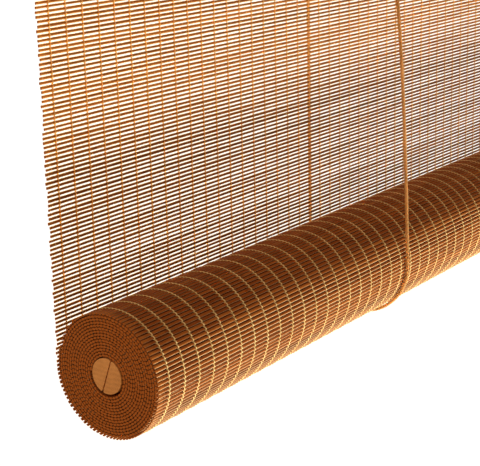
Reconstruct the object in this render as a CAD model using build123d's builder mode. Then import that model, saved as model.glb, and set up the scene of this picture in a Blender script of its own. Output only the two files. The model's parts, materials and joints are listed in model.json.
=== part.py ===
"""Woven bamboo roll-up blind, hung from its head batten and partly rolled.

Frame: X along the blind, -Y towards the room, +Z up, millimetres. The origin is the centre of the
head batten's top face, where the blind is screwed up under a lintel.
"""
from build123d import *

import os
from math import asin, atan2, cos, degrees, hypot, pi, radians, sin

# Mat: flat bamboo splints one above another, tied by warp threads
mat_width = 1200.0
splint_pitch = 3.0
splint_height = 2.2
splint_thickness = 1.0
splint_flat = 1.5
gap_count = 118
selvedge_width = 4.0
warp_pitch = 15.9
warp_margin = 11.7
warp_width = 0.8
warp_thickness = 0.35

# Roll: the lower part of the mat wound on two half-round battens
core_radius = 12.5
core_clearance = 0.3
turn_count = 15
turn_pitch = 2.04
tail_angle = 70.0
ridge_depth = 0.5
core_corner_radius = 1.0
mat_tail_inset = 2.5
core_nail_count = 4
core_nail_inset = 120.0
core_nail_radius = 0.8
core_nail_length = 19.0

# Head batten and the lath that clamps the mat to its back
batten_depth = 60.0
batten_height = 22.0
batten_edge_radius = 1.5
mount_hole_count = 3
mount_hole_inset = 50.0
mount_hole_radius = 2.25
mount_sink_radius = 4.5
mat_top_inset = 4.0
lath_thickness = 8.0
lath_height = 16.0
lath_edge_radius = 1.2
clamp_nail_count = 6
clamp_nail_inset = 50.0
clamp_nail_radius = 0.8
clamp_nail_length = 20.0
nail_head_radius = 2.0
nail_head_thickness = 0.8
nail_row = 2

# Lift cords
cord_diameter = 3.0
cord_inset = 321.0
cord_clearance = 0.3
cord_hole_clearance = 0.2
knot_radius = 3.4
knot_height = 5.0
knot_bevel = 1.2
pull_knot_radius = 6.5
pull_knot_height = 12.0
pull_drop = 20.0

# Pulleys and cord lock, bent from sheet, on the batten's front face
sheet = 1.5
sheave_radius = 9.2
sheave_width = 6.0
groove_radius = 6.4
groove_floor_width = 2.4
groove_mouth_width = 4.6
side_play = 0.5
axle_radius = 1.5
axle_head_radius = 2.6
axle_head_thickness = 1.0
running_clearance = 0.06
axle_height = -14.0
strap_width = 12.0
web_clearance = 1.3
plate_length = 33.0
plate_height = 15.0
plate_corner_radius = 3.0
screw_radius = 1.3
screw_length = 14.0
screw_head_radius = 2.6
screw_head_thickness = 1.6
screw_clearance = 0.05
screw_inset = 3.8
lock_inset = 52.0
lock_length = 40.0
lock_drop = 18.0
lock_lead = 11.0
lock_flange = 8.0
pawl_reach = 9.5
pawl_rise = 4.0
pawl_tail = 6.5
pawl_depth = 9.0
pawl_boss_radius = 3.6
tooth_count = 4
tooth_depth = 0.8
pawl_clearance = 0.3

# Places that follow from the sizes
half_width = mat_width / 2
mount_hole_pitch = (mat_width - 2 * mount_hole_inset) / (mount_hole_count - 1)
clamp_nail_pitch = (mat_width - 2 * clamp_nail_inset) / (clamp_nail_count - 1)
core_nail_pitch = (mat_width - 2 * core_nail_inset) / (core_nail_count - 1)
cord_radius = cord_diameter / 2
batten_back = batten_depth / 2
batten_front = -batten_depth / 2
mat_front = batten_back
mat_back = mat_front + splint_thickness
mat_height = gap_count * splint_pitch + splint_height
mat_bottom = -mat_top_inset - mat_height
roll_radius = core_radius + core_clearance + splint_thickness + (turn_count + 1 / 4) * turn_pitch
roll_y = mat_back - roll_radius
roll_z = mat_bottom - cord_clearance
lath_back = mat_back + lath_thickness
lath_middle = (mat_back + lath_back) / 2
lath_bottom = -batten_height
lath_top = lath_bottom + lath_height
nail_z = -mat_top_inset - nail_row * splint_pitch - (splint_height + splint_pitch) / 2
cord_x = half_width - cord_inset
wrap_radius = groove_radius + cord_clearance + cord_radius
cord_top_z = axle_height + wrap_radius
web_bottom = wrap_radius + cord_radius + web_clearance
inner_plane = sheet + side_play + sheave_width / 2
outer_plane = inner_plane + sheave_width + side_play
single_depth = inner_plane + sheave_width / 2 + side_play + sheet
double_depth = outer_plane + sheave_width / 2 + side_play + sheet
inner_y = batten_front - inner_plane
outer_y = batten_front - outer_plane
left_sheave_x = -cord_x + wrap_radius
right_sheave_x = cord_x + wrap_radius
roller_x = half_width - lock_inset
lock_right = lock_length - lock_lead
drop_x = roller_x + wrap_radius
pawl_x = drop_x + cord_radius + pawl_clearance + pawl_reach
pawl_z = axle_height + pawl_rise
pull_knot_top = axle_height - pull_drop
under_radius = roll_radius + cord_clearance + cord_radius


def arc_points(centre, radius, start, end, count):
    """Ridged outline along an arc: a groove, then a flat crest, for each splint."""
    points = []
    step = (end - start) / count
    side = (1 - splint_flat / splint_pitch) / 2
    for index in range(count):
        for share, depth in ((0, ridge_depth), (side, 0), (1 - side, 0)):
            angle = radians(start + step * (index + share))
            reach = radius - depth
            points.append((centre + reach * cos(angle), reach * sin(angle)))
    return points


def half_turn(centre, radius, lower):
    """Half a turn about a centre on the horizontal diameter, clockwise from its start."""
    side = 1 if lower else -1
    start = (centre + side * radius, 0)
    middle = (centre, -side * radius)
    end = (centre - side * radius, 0)
    return start, middle, end


def finish(part, label):
    """Name a finished piece and write its STEP file."""
    part.label = label
    export_step(part, f"parts/{label}.step")


os.makedirs("parts", exist_ok=True)

# Head batten: planed timber, three countersunk screw holes, pilot holes for pulleys, lock and lath
front_plane = Plane(origin=(0, batten_front, axle_height), x_dir=(1, 0, 0), z_dir=(0, -1, 0))
pulley_screws = plate_length / 2 - screw_inset
lock_screw_left = roller_x - lock_lead - lock_flange + screw_inset
lock_screw_right = roller_x + lock_right + lock_flange - screw_inset
screw_xs = [
    left_sheave_x - pulley_screws,
    left_sheave_x + pulley_screws,
    right_sheave_x - pulley_screws,
    right_sheave_x + pulley_screws,
    lock_screw_left,
    lock_screw_right,
]
with BuildPart() as head_batten:
    with BuildSketch(Plane.YZ.offset(-half_width)):
        with Locations((0, -batten_height / 2)):
            RectangleRounded(batten_depth, batten_height, batten_edge_radius)
    extrude(amount=mat_width)
    with Locations(Plane(origin=(0, 0, -batten_height), z_dir=(0, 0, -1))):
        with GridLocations(mount_hole_pitch, 1, mount_hole_count, 1):
            CounterSinkHole(mount_hole_radius, mount_sink_radius)
    with BuildSketch(front_plane):
        with Locations(*[(x, 0) for x in screw_xs]):
            Circle(screw_radius + screw_clearance)
    extrude(amount=-(screw_length - sheet), mode=Mode.SUBTRACT)
    with BuildSketch(Plane(origin=(0, batten_back, nail_z), x_dir=(1, 0, 0), z_dir=(0, -1, 0))):
        with GridLocations(clamp_nail_pitch, 1, clamp_nail_count, 1):
            Circle(clamp_nail_radius + screw_clearance)
    extrude(amount=clamp_nail_length - lath_thickness - splint_thickness, mode=Mode.SUBTRACT)
finish(head_batten.part, "head_batten")

# Clamp lath: holds the mat's top splints against the batten; the lift cords hang through it
with BuildPart() as clamp_lath:
    with BuildSketch(Plane.YZ.offset(-half_width)):
        with Locations((lath_middle, (lath_top + lath_bottom) / 2)):
            RectangleRounded(lath_thickness, lath_height, lath_edge_radius)
    extrude(amount=mat_width)
    with BuildSketch(Plane.XY.offset(lath_bottom)):
        with Locations((-cord_x, lath_middle), (cord_x, lath_middle)):
            Circle(cord_radius + cord_hole_clearance)
    extrude(amount=lath_height, mode=Mode.SUBTRACT)
    with BuildSketch(Plane(origin=(0, lath_back, nail_z), x_dir=(1, 0, 0), z_dir=(0, -1, 0))):
        with GridLocations(clamp_nail_pitch, 1, clamp_nail_count, 1):
            Circle(clamp_nail_radius + screw_clearance)
    extrude(amount=lath_thickness, mode=Mode.SUBTRACT)
finish(clamp_lath.part, "clamp_lath")

# Clamp nails: through the lath and between two splints into the batten
nail_plane = Plane(origin=(0, lath_back, nail_z), x_dir=(1, 0, 0), z_dir=(0, 1, 0))
with BuildPart() as clamp_nails:
    with BuildSketch(nail_plane):
        with GridLocations(clamp_nail_pitch, 1, clamp_nail_count, 1):
            Circle(clamp_nail_radius)
    extrude(amount=-clamp_nail_length)
    with BuildSketch(nail_plane):
        with GridLocations(clamp_nail_pitch, 1, clamp_nail_count, 1):
            Circle(nail_head_radius)
    extrude(amount=nail_head_thickness)
finish(clamp_nails.part, "clamp_nails")

# Hanging mat: a wall of splints with bevelled edges and a narrow gap under each one
gap_narrow = (splint_pitch - splint_height) / 2
gap_wide = (splint_pitch - splint_flat) / 2
mat_plane = Plane(origin=(0, mat_front, 0), x_dir=(0, 1, 0), z_dir=(1, 0, 0))
with BuildPart() as hanging_mat:
    with BuildSketch(mat_plane.offset(-half_width)):
        with Locations((splint_thickness / 2, mat_bottom + mat_height / 2)):
            Rectangle(splint_thickness, mat_height)
    extrude(amount=mat_width)
    with BuildSketch(mat_plane.offset(selvedge_width - half_width)):
        first_gap = -mat_top_inset - splint_height - gap_narrow
        with Locations(*[(0, first_gap - row * splint_pitch) for row in range(gap_count)]):
            Polygon(
                (0, gap_wide),
                (splint_thickness / 2, gap_narrow),
                (splint_thickness, gap_wide),
                (splint_thickness, -gap_wide),
                (splint_thickness / 2, -gap_narrow),
                (0, -gap_wide),
                align=None,
            )
    extrude(amount=mat_width - 2 * selvedge_width, mode=Mode.SUBTRACT)
    with BuildSketch(Plane(origin=(0, mat_front, nail_z), x_dir=(1, 0, 0), z_dir=(0, 1, 0))):
        with GridLocations(clamp_nail_pitch, 1, clamp_nail_count, 1):
            Circle(clamp_nail_radius + screw_clearance)
    extrude(amount=splint_thickness, mode=Mode.SUBTRACT)
finish(hanging_mat.part, "hanging_mat")

# Warp threads: one on each face of the mat in every column
warp_count = round((mat_width - 2 * warp_margin) / warp_pitch) + 1
warp_length = -batten_height - mat_bottom
with BuildPart() as warp_threads:
    with BuildSketch(Plane.XY.offset(mat_bottom)):
        for thread_y in (mat_front - warp_thickness / 2, mat_back + warp_thickness / 2):
            with Locations((0, thread_y)):
                with GridLocations(warp_pitch, 1, warp_count, 1):
                    Rectangle(warp_width, warp_thickness)
    extrude(amount=warp_length)
finish(warp_threads.part, "warp_threads")

# Rolled mat: one strip wound inwards by half turns about two centres, its end led into the core
roll_plane = Plane(origin=(-half_width, roll_y, roll_z), x_dir=(0, 1, 0), z_dir=(1, 0, 0))
half_turns = 2 * turn_count
outer_arcs = []
inner_arcs = []
for turn in range(half_turns):
    is_lower = turn % 2 == 0
    turn_centre = turn_pitch / 4 if is_lower else -turn_pitch / 4
    turn_radius = roll_radius - turn_pitch / 4 - turn * turn_pitch / 2
    outer_arcs.append((turn_centre, turn_radius, is_lower))
    inner_arcs.append((turn_centre, turn_radius - splint_thickness, is_lower))
ridges = []
for turn_centre, turn_radius, is_lower in outer_arcs[:2]:
    ridge_count = round(pi * turn_radius / splint_pitch)
    first_angle = 0 if is_lower else -180
    ridges += arc_points(turn_centre, turn_radius, first_angle, first_angle - 180, ridge_count)
tail_centre = turn_pitch / 4
tail_radius = roll_radius - turn_pitch / 4 - turn_count * turn_pitch
tail_lead = radians(tail_angle)
half_thickness = splint_thickness / 2
tail_tip = mat_tail_inset - core_radius


def tail_point(reach, forward):
    """Point of the mat's end, reach from the axis against its run and forward of its middle."""
    y = reach * cos(tail_lead) - forward * sin(tail_lead)
    return y, -reach * sin(tail_lead) - forward * cos(tail_lead)


def tail_arc(radius, forward):
    """Last stretch of a spiral face, from the back to where it meets the mat's end."""
    across = forward + tail_centre * sin(tail_lead)
    reach = tail_centre * cos(tail_lead) + (radius**2 - across**2) ** 0.5
    end = tail_point(reach, forward)
    half = atan2(-end[1], end[0] - tail_centre) / 2
    middle = (tail_centre + radius * cos(half), -radius * sin(half))
    return (tail_centre + radius, 0), middle, end, reach


outer_start, outer_middle, outer_end, corner = tail_arc(tail_radius, 0)
inner_start, inner_middle, inner_end, _ = tail_arc(tail_radius - splint_thickness, -half_thickness)
rounding = half_thickness * cos(pi / 4)
core_nail_plane = Plane(
    origin=(0, roll_y, roll_z), x_dir=(1, 0, 0), z_dir=(0, -sin(tail_lead), -cos(tail_lead)),
)
with BuildPart() as rolled_mat:
    with BuildSketch(roll_plane):
        with BuildLine():
            ridges.append(half_turn(*outer_arcs[2])[0])
            Polyline(*ridges)
            for arc in outer_arcs[2:]:
                ThreePointArc(*half_turn(*arc))
            ThreePointArc(outer_start, outer_middle, outer_end)
            ThreePointArc(
                outer_end,
                tail_point(corner - half_thickness + rounding, rounding),
                tail_point(corner - half_thickness, half_thickness),
            )
            Polyline(
                tail_point(corner - half_thickness, half_thickness),
                tail_point(tail_tip, half_thickness),
                tail_point(tail_tip, -half_thickness),
                inner_end,
            )
            ThreePointArc(inner_end, inner_middle, inner_start)
            for arc in reversed(inner_arcs):
                ThreePointArc(*reversed(half_turn(*arc)))
            Line(half_turn(*inner_arcs[0])[0], ridges[0])
        make_face()
    extrude(amount=mat_width)
    with BuildSketch(core_nail_plane):
        with GridLocations(core_nail_pitch, 1, core_nail_count, 1):
            Circle(core_nail_radius + screw_clearance)
    extrude(amount=splint_thickness, both=True, mode=Mode.SUBTRACT)
finish(rolled_mat.part, "rolled_mat")

# Bottom battens: two half-rounds face to face with the mat's end between them
for label, side in (("bottom_batten_front", 1), ("bottom_batten_back", -1)):
    with BuildPart() as half_round:
        with BuildSketch(roll_plane):
            Circle(core_radius)
            with Locations(tail_point(0, side * half_thickness)):
                Rectangle(
                    3 * core_radius,
                    3 * core_radius,
                    rotation=180 - tail_angle,
                    align=(Align.CENTER, Align.MAX if side > 0 else Align.MIN),
                    mode=Mode.SUBTRACT,
                )
            fillet(vertices(), core_corner_radius)
        extrude(amount=mat_width)
        with BuildSketch(core_nail_plane):
            with GridLocations(core_nail_pitch, 1, core_nail_count, 1):
                Circle(core_nail_radius + screw_clearance)
        extrude(amount=side * core_nail_length / 2, mode=Mode.SUBTRACT)
    finish(half_round.part, label)

# Batten nails: hold the half-rounds and the mat's end together
with BuildPart() as batten_nails:
    with BuildSketch(core_nail_plane):
        with GridLocations(core_nail_pitch, 1, core_nail_count, 1):
            Circle(core_nail_radius)
    extrude(amount=core_nail_length / 2, both=True)
finish(batten_nails.part, "batten_nails")


def bracket(label, x, depth, lead, length, drop, plate, tall, holes):
    """Bent sheet: a plate on the batten, a web over the wheels and an outer cheek down their front.

    The strap runs from lead left of the axle for its length and hangs drop below the axle.
    """
    plane = front_plane.shift_origin((x, batten_front, axle_height))
    middle = length / 2 - lead
    top = web_bottom + sheet
    with BuildPart() as strap:
        for offset, is_plate in ((0, True), (depth - sheet, False)):
            with BuildSketch(plane.offset(offset)):
                with Locations((middle, top)):
                    Rectangle(length, top + drop, align=(Align.CENTER, Align.MAX))
                fillet(vertices().group_by(Axis.Y)[0], plate_corner_radius)
                if is_plate:
                    with Locations((middle, 0)):
                        RectangleRounded(plate, tall, plate_corner_radius)
            extrude(amount=sheet)
        with BuildSketch(plane):
            with Locations((middle, web_bottom)):
                Rectangle(length, sheet, align=(Align.CENTER, Align.MIN))
        extrude(amount=depth)
        bends = strap.edges().filter_by(Axis.X).group_by(Axis.Z)[-1]
        fillet(bends.sort_by(Axis.Y)[0], sheet)
        with BuildSketch(plane):
            with Locations(*holes):
                Circle(axle_radius + screw_clearance)
        extrude(amount=depth, mode=Mode.SUBTRACT)
        with BuildSketch(plane):
            with Locations(*[(px - x, 0) for px in screw_xs if abs(px - x - middle) < plate / 2]):
                Circle(screw_radius + screw_clearance)
        extrude(amount=sheet, mode=Mode.SUBTRACT)
    finish(strap.part, label)


def pin(label, x, z, depth):
    """Axle pin across a bracket, with a flat head on the outer cheek."""
    plane = Plane(origin=(x, batten_front, z), x_dir=(1, 0, 0), z_dir=(0, -1, 0))
    with BuildPart() as axle:
        with BuildSketch(plane):
            Circle(axle_radius)
        extrude(amount=depth)
        with BuildSketch(plane.offset(depth)):
            Circle(axle_head_radius)
        extrude(amount=axle_head_thickness)
    finish(axle.part, label)


def sheave(label, x, y):
    """Grooved wheel turned about its axle."""
    floor = groove_floor_width / 2
    mouth = groove_mouth_width / 2
    rim = sheave_width / 2
    bore = axle_radius + running_clearance
    with BuildPart() as wheel:
        with BuildSketch(Plane(origin=(x, y, axle_height), x_dir=(1, 0, 0), z_dir=(0, 0, 1))):
            with BuildLine():
                Polyline(
                    (bore, -rim),
                    (sheave_radius, -rim),
                    (sheave_radius, -mouth),
                    (groove_radius, -floor),
                    (groove_radius, floor),
                    (sheave_radius, mouth),
                    (sheave_radius, rim),
                    (bore, rim),
                    close=True,
                )
            make_face()
        revolve(axis=Axis((x, y, axle_height), (0, 1, 0)))
    finish(wheel.part, label)


# Pulleys: a single one on the left, a double one on the right that also passes the left cord on
half_strap = strap_width / 2
pulley_drop = half_strap
bracket(
    "pulley_bracket_left", left_sheave_x, single_depth, half_strap, strap_width,
    pulley_drop, plate_length, plate_height, [(0, 0)],
)
bracket(
    "pulley_bracket_right", right_sheave_x, double_depth, half_strap, strap_width,
    pulley_drop, plate_length, plate_height, [(0, 0)],
)
pin("pulley_axle_left", left_sheave_x, axle_height, single_depth)
pin("pulley_axle_right", right_sheave_x, axle_height, double_depth)
sheave("sheave_left", left_sheave_x, inner_y)
sheave("sheave_right_inner", right_sheave_x, inner_y)
sheave("sheave_right_outer", right_sheave_x, outer_y)

# Cord lock: a roller that turns both cords down and a toothed pawl that pinches them against it
lock_plate = lock_length + 2 * lock_flange
bracket(
    "cord_lock_housing", roller_x, double_depth, lock_lead, lock_length,
    lock_drop, lock_plate, plate_height, [(0, 0), (pawl_x - roller_x, pawl_rise)],
)
inside = double_depth - 2 * sheet
roller_plane = Plane(origin=(roller_x, batten_front, axle_height), x_dir=(1, 0, 0), z_dir=(0, -1, 0))
with BuildPart() as cord_lock_roller:
    with BuildSketch(roller_plane):
        Circle(axle_radius)
    extrude(amount=double_depth)
    with BuildSketch(roller_plane.offset(sheet + side_play)):
        Circle(groove_radius)
    extrude(amount=inside - 2 * side_play)
finish(cord_lock_roller.part, "cord_lock_roller")

pawl_plane = Plane(origin=(pawl_x, batten_front, pawl_z), x_dir=(1, 0, 0), z_dir=(0, -1, 0))
teeth_top = -pawl_rise + tooth_count * tooth_depth
tooth_pitch = 2 * tooth_depth
teeth = []
for tooth in range(tooth_count):
    tooth_z = teeth_top - tooth * tooth_pitch
    teeth.append((-pawl_reach + tooth_depth, tooth_z))
    teeth.append((-pawl_reach, tooth_z - tooth_pitch / 2))
teeth.append((-pawl_reach + tooth_depth, teeth_top - tooth_count * tooth_pitch))
with BuildPart() as cord_lock_pawl:
    with BuildSketch(pawl_plane.offset(sheet + side_play)):
        Circle(pawl_boss_radius)
        with BuildLine():
            Polyline(
                (0, pawl_boss_radius),
                *teeth,
                (-pawl_reach + 2 * tooth_depth, -pawl_depth),
                (pawl_tail, -pawl_depth),
                (pawl_tail, -pawl_boss_radius),
                close=True,
            )
        make_face()
        Circle(axle_radius + running_clearance, mode=Mode.SUBTRACT)
    extrude(amount=inside - 2 * side_play)
finish(cord_lock_pawl.part, "cord_lock_pawl")
pin("cord_lock_pin", pawl_x, pawl_z, double_depth)

# Screws of the pulleys and the lock
with BuildPart() as hardware_screws:
    with BuildSketch(front_plane.offset(sheet)):
        with Locations(*[(x, 0) for x in screw_xs]):
            Circle(screw_radius)
    extrude(amount=-screw_length)
    with BuildSketch(front_plane.offset(sheet)):
        with Locations(*[(x, 0) for x in screw_xs]):
            Circle(screw_head_radius)
    extrude(amount=screw_head_thickness)
finish(hardware_screws.part, "hardware_screws")


def straight_cord(label, start, end, flat_top=False):
    """Round cord between two points; a flat top ends it level at the wheel's height."""
    run = Vector(*end) - Vector(*start)
    with BuildPart() as cord:
        with BuildSketch(Plane(origin=start, x_dir=(1, 0, 0), z_dir=tuple(run))):
            Circle(cord_radius)
        extrude(amount=run.length + (cord_radius if flat_top else 0))
        if flat_top:
            split(bisect_by=Plane.XY.offset(end[2]), keep=Keep.BOTTOM)
    finish(cord.part, label)
    return run.length


def swept_cord(label, wire, plane):
    """Round cord along a planar path of straight runs and arcs."""
    with BuildPart() as cord:
        with BuildSketch(plane):
            Circle(cord_radius)
        sweep(path=wire)
    finish(cord.part, label)
    return wire.length


# Lift cords: knotted on the lath, down behind the mat, under the roll, up in front, over the pulley
# and along the batten to the lock, where both end in one knot
back_radius = lath_middle - roll_y
back_z = roll_z - under_radius + back_radius
for side_name, x, plane_y, sheave_x in (
    ("left", -cord_x, inner_y, left_sheave_x),
    ("right", cord_x, outer_y, right_sheave_x),
):
    with BuildPart() as knot:
        with BuildSketch(Plane(origin=(x, lath_middle, lath_top), x_dir=(1, 0, 0), z_dir=(0, -1, 0))):
            Polygon(
                (0, 0),
                (knot_radius - knot_bevel, 0),
                (knot_radius, knot_bevel),
                (knot_radius, knot_height - knot_bevel),
                (knot_radius - knot_bevel, knot_height),
                (0, knot_height),
                align=None,
            )
        revolve(axis=Axis((x, lath_middle, 0), (0, 0, 1)))
    finish(knot.part, f"cord_knot_{side_name}")

    back_top = (x, lath_middle, lath_top)
    back_end = (x, lath_middle, back_z)
    back_length = straight_cord(f"cord_back_{side_name}", back_end, back_top)

    reach_y = plane_y - roll_y
    reach_z = axle_height - roll_z
    lean = atan2(reach_y, reach_z) + asin(under_radius / hypot(reach_y, reach_z))
    front_start = (x, roll_y - under_radius * cos(lean), roll_z + under_radius * sin(lean))
    front_end = (x, plane_y, axle_height)
    bottom = (x, roll_y, roll_z - under_radius)
    with BuildLine() as bight_path:
        quarter = back_radius * cos(pi / 4)
        ThreePointArc(back_end, (x, roll_y + quarter, back_z - quarter), bottom)
        half = (pi / 2 + lean) / 2
        middle = (x, roll_y - under_radius * sin(half), roll_z - under_radius * cos(half))
        ThreePointArc(bottom, middle, front_start)
    bight_plane = Plane(origin=back_end, x_dir=(1, 0, 0), z_dir=(0, 0, -1))
    bight_length = swept_cord(f"cord_bight_{side_name}", bight_path.wire(), bight_plane)
    front_length = straight_cord(f"cord_front_{side_name}", front_start, front_end, flat_top=True)

    turn = wrap_radius * cos(pi / 4)
    with BuildLine() as rail_path:
        over = (sheave_x - turn, plane_y, axle_height + turn)
        ThreePointArc(front_end, over, (sheave_x, plane_y, cord_top_z))
        Line((sheave_x, plane_y, cord_top_z), (roller_x, plane_y, cord_top_z))
        down = (roller_x + turn, plane_y, axle_height + turn)
        ThreePointArc((roller_x, plane_y, cord_top_z), down, (drop_x, plane_y, axle_height))
        Line((drop_x, plane_y, axle_height), (drop_x, plane_y, pull_knot_top))
    rail_plane = Plane(origin=front_end, x_dir=(1, 0, 0), z_dir=(0, 0, 1))
    rail_length = swept_cord(f"cord_rail_{side_name}", rail_path.wire(), rail_plane)
    total = back_length + bight_length + front_length + rail_length
    print(f"lift cord {side_name}: length {total:.1f}, lean {degrees(lean):.2f} degrees")
    print(f"  arc radii {back_radius:.1f}, {under_radius:.1f}, {wrap_radius:.1f}")

# Pull knot: both cords end in it under the lock
knot_y = (inner_y + outer_y) / 2
with BuildPart() as pull_knot:
    with BuildSketch(Plane(origin=(drop_x, knot_y, pull_knot_top), x_dir=(1, 0, 0), z_dir=(0, -1, 0))):
        Polygon(
            (0, 0),
            (pull_knot_radius - knot_bevel, 0),
            (pull_knot_radius, -knot_bevel),
            (pull_knot_radius, -pull_knot_height / 2),
            (cord_radius + knot_bevel, -pull_knot_height),
            (0, -pull_knot_height),
            align=None,
        )
    revolve(axis=Axis((drop_x, knot_y, 0), (0, 0, 1)))
finish(pull_knot.part, "pull_knot")

print(f"roll radius {roll_radius:.2f}, axis y {roll_y:.2f} z {roll_z:.2f}, wrap radius {wrap_radius:.2f}")
print(f"cord x {cord_x:.1f}, warp columns {warp_count}, hanging height {mat_height:.1f}")
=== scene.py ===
"""Looks of a woven bamboo roll-up blind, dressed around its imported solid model.

The mat is made splint by splint and tied with twisted pairs of warp thread, above the roll and
around its outer turn. The lift cords are laid from three strands each and end in tied knots. Timber
and metal parts keep their solids and get their finishes here. Lengths are in metres.
"""
import json
from math import cos, pi, radians, sin, tan

import bpy
import numpy as np
from bpy.props import FloatProperty, FloatVectorProperty, IntProperty, PointerProperty
from mathutils import Euler, Matrix, Vector


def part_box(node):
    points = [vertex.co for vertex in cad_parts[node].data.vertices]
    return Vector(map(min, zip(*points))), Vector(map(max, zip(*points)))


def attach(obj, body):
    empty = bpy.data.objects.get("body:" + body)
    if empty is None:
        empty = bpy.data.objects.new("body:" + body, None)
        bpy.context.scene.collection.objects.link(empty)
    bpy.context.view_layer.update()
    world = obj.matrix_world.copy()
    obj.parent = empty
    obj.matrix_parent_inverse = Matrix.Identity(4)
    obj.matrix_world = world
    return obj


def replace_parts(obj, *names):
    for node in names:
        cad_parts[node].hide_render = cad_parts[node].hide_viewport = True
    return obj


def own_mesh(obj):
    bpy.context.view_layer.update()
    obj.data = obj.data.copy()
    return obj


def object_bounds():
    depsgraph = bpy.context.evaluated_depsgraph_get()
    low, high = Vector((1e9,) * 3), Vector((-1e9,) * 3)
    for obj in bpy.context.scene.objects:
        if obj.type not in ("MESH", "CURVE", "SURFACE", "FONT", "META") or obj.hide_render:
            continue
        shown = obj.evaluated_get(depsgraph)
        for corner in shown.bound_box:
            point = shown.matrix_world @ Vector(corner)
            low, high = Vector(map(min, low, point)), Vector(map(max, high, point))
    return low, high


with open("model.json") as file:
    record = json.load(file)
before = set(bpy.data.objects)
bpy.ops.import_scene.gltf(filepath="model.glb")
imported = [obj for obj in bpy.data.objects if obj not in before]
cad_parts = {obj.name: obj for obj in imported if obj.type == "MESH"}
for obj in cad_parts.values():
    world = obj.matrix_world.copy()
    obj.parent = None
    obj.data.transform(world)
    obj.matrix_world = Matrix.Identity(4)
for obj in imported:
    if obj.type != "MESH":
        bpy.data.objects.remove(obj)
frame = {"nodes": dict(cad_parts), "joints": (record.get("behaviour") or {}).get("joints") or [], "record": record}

bl_info = {
    "name": "Bamboo Roll-up Blind",
    "version": (1, 0, 0),
    "blender": (4, 5, 0),
    "location": "View3D > Sidebar > Blind",
    "description": "Dresses a woven bamboo roll-up blind: mat, roll, lift cords, timber and metal",
    "category": "Object",
}

CAD_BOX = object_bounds()
JOINTS = {joint["name"]: joint for joint in frame["joints"]}
MAT_LOW, MAT_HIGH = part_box("hanging_mat")
ROLL_AXIS = Vector(JOINTS["roll_turn"]["pos_m"])
ROLL_RADIUS = MAT_HIGH.y - ROLL_AXIS.y
SHARP_ANGLE = radians(60)
OUTER_TURNS = 1.02
# Waves along a splint, the phase of its swell over half of it, and splints in a drift of shade
SWAY_WAVES = (3, 7, 12)
LEAST_SWAY = 0.2
SWELL, SWELL_PHASE = 0.06, 29
DRIFT_REACH = 9
DRIFT_SHARE, STRAY_SHARE = 0.45, 0.55
STRAY_SHAPE = (2.2, 2.4)
# Strands as shares of their cord's diameter, and the turns and points of the knots
STRAND_OFFSET, STRAND_RADIUS, STRAND_SIDES = 0.25, 0.27, 6
POINTS_PER_LAY = 8
STOPPER_POINTS = 48
BARREL_TURNS, BARREL_POINTS, BARREL_TAPER = 3.5, 90, 0.3
# Joints of the bamboo, distance of its paler ends from the edge, and light through a face
JOINTS_PER_METRE, JOINT_SHIFT, JOINT_REACH = 3.1, 61.0, 0.008
END_BAND = (0.008, 0.003)
SAWN_FACING = (0.7, 0.9)
FACE_GLOW = 1 / 8
THREAD_FUZZ, CORD_FUZZ = 3200.0, 1500.0
ROOM_TINT = (1.0, 0.83, 0.64)
FLOOR_REACH, FLOOR_GLOW = 30.0, 0.74
SLOT_COLOURS = {slot["slot"]: slot["base_color"] for slot in frame["record"]["materials"]}


def colour_setting(name, description, default):
    """A colour the user can change."""
    return FloatVectorProperty(
        name=name, description=description, default=default, subtype="COLOR", size=3, min=0, max=1,
    )


def length_setting(name, description, default):
    """A length the user can change."""
    return FloatProperty(
        name=name, description=description, default=default, min=0, unit="LENGTH", precision=5,
    )


def angle_setting(name, description, default):
    """An angle the user can change."""
    return FloatProperty(name=name, description=description, default=default, subtype="ANGLE")


def power_setting(name, description, default):
    """A lamp's power the user can change."""
    return FloatProperty(name=name, description=description, default=default, min=0, unit="POWER")


class BlindMatSettings(bpy.types.PropertyGroup):
    """Sizes of the splints and of the warp threads that tie them."""

    splint_count: IntProperty(
        name="Splints", description="Splints in the hanging part of the mat", default=119, min=2,
    )
    splint_height: length_setting("Splint height", "Height of a splint across the mat", 0.00205)
    splint_thickness: length_setting(
        "Splint thickness", "Thickness of a splint", MAT_HIGH.y - MAT_LOW.y,
    )
    height_spread: FloatProperty(
        name="Height spread", description="Share by which splints differ in height",
        default=0.10, min=0, max=0.4, subtype="FACTOR",
    )
    sway: length_setting("Sway", "How far a splint bends up and down along its length", 0.00016)
    ragged: length_setting("Ragged ends", "How far splint ends fall short of the edge", 0.0018)
    warp_count: IntProperty(
        name="Warps", description="Columns of paired warp threads", default=75, min=2,
    )
    warp_pitch: length_setting("Warp pitch", "Distance between warp columns", 0.0159)
    warp_width: length_setting("Warp width", "Width of one warp thread", 0.0012)
    warp_thickness: length_setting("Warp thickness", "Thickness of one warp thread", 0.00045)
    warp_throw: length_setting("Warp throw", "Sideways throw of a warp pair's twist", 0.00032)
    clear: length_setting("Clearance", "How far the raised mat ends over the roll's axis", 0.016)
    seed: IntProperty(name="Seed", description="Seed of the mat's irregularities", default=7)


class BlindRollSettings(bpy.types.PropertyGroup):
    """How the lower part of the mat is wound."""

    turns: IntProperty(name="Turns", description="Turns of mat on the roll", default=15, min=1)
    turn_pitch: length_setting("Turn pitch", "Distance between two turns", 0.00204)
    ragged: length_setting("Ragged ends", "How far splint ends of the roll differ", 0.0004)
    inner_height: length_setting("Inner height", "Height of the splints of inner turns", 0.0026)
    inner_thickness: length_setting(
        "Inner thickness", "Thickness of the splints of inner turns with their threads", 0.0016,
    )


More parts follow.
